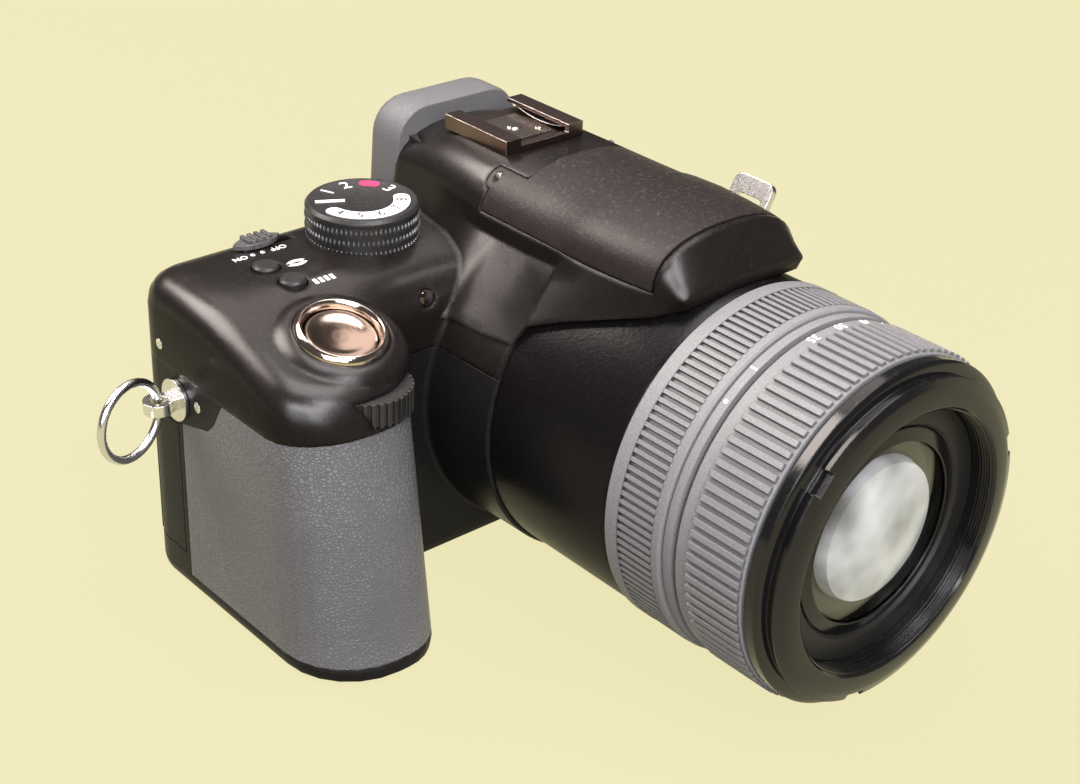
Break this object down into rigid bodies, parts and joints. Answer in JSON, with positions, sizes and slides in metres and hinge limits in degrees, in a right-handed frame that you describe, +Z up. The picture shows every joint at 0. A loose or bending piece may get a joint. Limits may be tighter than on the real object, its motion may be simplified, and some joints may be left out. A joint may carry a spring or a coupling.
{
  "type": "bridge camera",
  "caption": "Bridge camera with a deep grip, fixed zoom lens with two ribbed rings, pop-up flash hump, hot shoe, top dials and a folding rear screen.",
  "frame": {"origin": "mouth of the tripod socket, in the plane of the base", "axes": "+Z up, the lens looks along -Y, the grip is on the -X side; the lens axis is at x = 0"},
  "size_m": [0.1731, 0.142, 0.0855],
  "materials": {
    "cover_plastic": "satin black moulded plastic with a fine spark texture",
    "lid_plastic": "black plastic with a coarse grain",
    "grip_rubber": "dark grey rubber with a leather grain",
    "ring_rubber": "mid grey ribbed rubber",
    "gloss_black": "polished black",
    "control_plastic": "black plastic controls",
    "chrome": "warm polished chrome",
    "steel": "plain steel",
    "dark_metal": "black painted metal",
    "optical_glass": "coated optical glass",
    "board": "green circuit board",
    "cell_pack": "dark battery case",
    "card": "blue card case",
    "reflector": "bright reflector",
    "socket_metal": "plain turned metal"
  },
  "bodies": {
    "body": {"front_cover": "cover_plastic", "rear_cover": "cover_plastic", "top_cover": "cover_plastic", "base_cover": "cover_plastic", "grip_rubber": "grip_rubber", "tripod_socket": "socket_metal", "lens_housing": "gloss_black", "index_ring": "ring_rubber", "front_barrel": "gloss_black", "front_bezel": "gloss_black", "front_element": "optical_glass", "iris_unit": "control_plastic", "rear_group": "dark_metal", "sensor_board": "board", "main_board": "board", "battery": "cell_pack", "memory_card": "card", "flash_hinge_pin": "steel", "shoe_rails": "dark_metal", "shoe_contacts": "steel", "evf_module": "control_plastic", "eyepiece_lens": "optical_glass", "eyecup": "grip_rubber", "shutter_ring": "chrome", "screen_hinge_pin": "steel", "strap_lugs": "steel", "af_lamp": "gloss_black"},
    "focus_ring": {"focus_ring": "ring_rubber"},
    "zoom_ring": {"zoom_ring": "ring_rubber"},
    "zoom_group": {"zoom_group": "dark_metal"},
    "focus_group": {"focus_group": "dark_metal"},
    "flash": {"flash_lid": "lid_plastic", "flash_unit": "reflector", "flash_window": "optical_glass"},
    "flash_button": {"flash_button": "control_plastic"},
    "diopter_dial": {"diopter_dial": "control_plastic"},
    "mode_dial": {"mode_dial": "control_plastic"},
    "power_switch": {"power_switch": "control_plastic"},
    "top_button_rear": {"top_button_rear": "control_plastic"},
    "top_button_front": {"top_button_front": "control_plastic"},
    "shutter_button": {"shutter_button": "chrome"},
    "front_dial": {"front_dial": "control_plastic"},
    "rear_dial": {"rear_dial": "control_plastic"},
    "screen": {"screen_panel": "gloss_black", "screen_glass": "optical_glass"},
    "lock_button": {"lock_button": "control_plastic"},
    "view_button": {"view_button": "control_plastic"},
    "delete_button": {"delete_button": "control_plastic"},
    "cursor_up": {"cursor_up": "control_plastic"},
    "cursor_down": {"cursor_down": "control_plastic"},
    "cursor_left": {"cursor_left": "control_plastic"},
    "cursor_right": {"cursor_right": "control_plastic"},
    "set_button": {"set_button": "control_plastic"},
    "focus_switch": {"focus_switch": "control_plastic"},
    "card_door": {"card_door": "cover_plastic"},
    "terminal_cover": {"terminal_cover": "cover_plastic"},
    "battery_door": {"battery_door": "cover_plastic"},
    "battery_latch": {"battery_latch": "control_plastic"},
    "strap_ring_near": {"strap_ring_near": "chrome"},
    "strap_ring_far": {"strap_ring_far": "chrome"}
  },
  "joints": [
    {"name": "focus_turn", "type": "hinge", "parent": "body", "child": "focus_ring", "pos_m": [0, -0.076, 0.037], "axis": [0, -1, 0], "continuous": true},
    {"name": "zoom_turn", "type": "hinge", "parent": "body", "child": "zoom_ring", "pos_m": [0, -0.095, 0.037], "axis": [0, -1, 0], "range_deg": [0, 80]},
    {"name": "zoom_group_slide", "type": "slide", "parent": "body", "child": "zoom_group", "axis": [0, -1, 0], "range_m": [0, 0.024]},
    {"name": "focus_group_slide", "type": "slide", "parent": "body", "child": "focus_group", "axis": [0, -1, 0], "range_m": [-0.003, 0.003]},
    {"name": "flash_lift", "type": "hinge", "parent": "body", "child": "flash", "pos_m": [0, -0.0112, 0.0804], "axis": [-1, 0, 0], "range_deg": [0, 45]},
    {"name": "flash_button_press", "type": "slide", "parent": "body", "child": "flash_button", "axis": [0, 0, -1], "range_m": [0, 0.0007], "stiffness_N_per_m": 400, "springref_m": -0.0006},
    {"name": "diopter_turn", "type": "hinge", "parent": "body", "child": "diopter_dial", "pos_m": [0.019, 0.013, 0.0726], "axis": [1, 0, 0], "range_deg": [-120, 120]},
    {"name": "mode_turn", "type": "hinge", "parent": "body", "child": "mode_dial", "pos_m": [-0.0356, 0.0078, 0.07], "axis": [0, 0, 1], "continuous": true},
    {"name": "power_slide", "type": "slide", "parent": "body", "child": "power_switch", "axis": [1, 0, 0], "range_m": [0, 0.004]},
    {"name": "top_button_rear_press", "type": "slide", "parent": "body", "child": "top_button_rear", "axis": [0, 0, -1], "range_m": [0, 0.0006], "stiffness_N_per_m": 400, "springref_m": -0.0006},
    {"name": "top_button_front_press", "type": "slide", "parent": "body", "child": "top_button_front", "axis": [0, 0, -1], "range_m": [0, 0.0006], "stiffness_N_per_m": 400, "springref_m": -0.0006},
    {"name": "shutter_press", "type": "slide", "parent": "body", "child": "shutter_button", "axis": [0, 0.2924, -0.9563], "range_m": [0, 0.0011], "stiffness_N_per_m": 500, "springref_m": -0.0008},
    {"name": "front_dial_turn", "type": "hinge", "parent": "body", "child": "front_dial", "pos_m": [-0.0615, -0.0286, 0.0533], "axis": [0, 0, 1], "continuous": true},
    {"name": "rear_dial_turn", "type": "hinge", "parent": "body", "child": "rear_dial", "pos_m": [-0.0595, 0.0144, 0.0569], "axis": [0, 0, 1], "continuous": true},
    {"name": "screen_fold", "type": "hinge", "parent": "body", "child": "screen", "pos_m": [-0.002, 0.0214, 0.0058], "axis": [-1, 0, 0], "range_deg": [0, 180]},
    {"name": "lock_button_press", "type": "slide", "parent": "body", "child": "lock_button", "axis": [0, -1, 0], "range_m": [0, 0.0005], "stiffness_N_per_m": 400, "springref_m": -0.0006},
    {"name": "view_button_press", "type": "slide", "parent": "body", "child": "view_button", "axis": [0, -1, 0], "range_m": [0, 0.0005], "stiffness_N_per_m": 400, "springref_m": -0.0006},
    {"name": "delete_button_press", "type": "slide", "parent": "body", "child": "delete_button", "axis": [0, -1, 0], "range_m": [0, 0.0005], "stiffness_N_per_m": 400, "springref_m": -0.0006},
    {"name": "cursor_up_press", "type": "slide", "parent": "body", "child": "cursor_up", "axis": [0, -1, 0], "range_m": [0, 0.0005], "stiffness_N_per_m": 400, "springref_m": -0.0006},
    {"name": "cursor_down_press", "type": "slide", "parent": "body", "child": "cursor_down", "axis": [0, -1, 0], "range_m": [0, 0.0005], "stiffness_N_per_m": 400, "springref_m": -0.0006},
    {"name": "cursor_left_press", "type": "slide", "parent": "body", "child": "cursor_left", "axis": [0, -1, 0], "range_m": [0, 0.0005], "stiffness_N_per_m": 400, "springref_m": -0.0006},
    {"name": "cursor_right_press", "type": "slide", "parent": "body", "child": "cursor_right", "axis": [0, -1, 0], "range_m": [0, 0.0005], "stiffness_N_per_m": 400, "springref_m": -0.0006},
    {"name": "set_button_press", "type": "slide", "parent": "body", "child": "set_button", "axis": [0, -1, 0], "range_m": [0, 0.0005], "stiffness_N_per_m": 400, "springref_m": -0.0006},
    {"name": "focus_switch_slide", "type": "slide", "parent": "body", "child": "focus_switch", "axis": [0, -1, 0], "range_m": [0, 0.006]},
    {"name": "card_door_swing", "type": "hinge", "parent": "body", "child": "card_door", "pos_m": [-0.0805, 0.0164, 0.0235], "axis": [0, 0, -1], "range_deg": [0, 100]},
    {"name": "terminal_cover_swing", "type": "hinge", "parent": "body", "child": "terminal_cover", "pos_m": [0.0571, 0.0046, 0.031], "axis": [0, 0, -1], "range_deg": [0, 120]},
    {"name": "battery_door_swing", "type": "hinge", "parent": "body", "child": "battery_door", "pos_m": [-0.06825, 0.0085, 0.0015], "axis": [1, 0, 0], "range_deg": [0, 90]},
    {"name": "battery_latch_slide", "type": "slide", "parent": "battery_door", "child": "battery_latch", "axis": [1, 0, 0], "range_m": [0, 0.0025]},
    {"name": "strap_ring_near_swing", "type": "hinge", "parent": "body", "child": "strap_ring_near", "pos_m": [-0.0869, 0.005, 0.0445], "axis": [0, 0, 1], "range_deg": [-85, 50]},
    {"name": "strap_ring_far_swing", "type": "hinge", "parent": "body", "child": "strap_ring_far", "pos_m": [0.0624, -0.006, 0.045], "axis": [0, -1, 0], "range_deg": [-130, 20]}
  ],
  "couplings": [
    {"joint": "zoom_turn", "follows": "zoom_group_slide", "rad_per_m": 58.172}
  ]
}
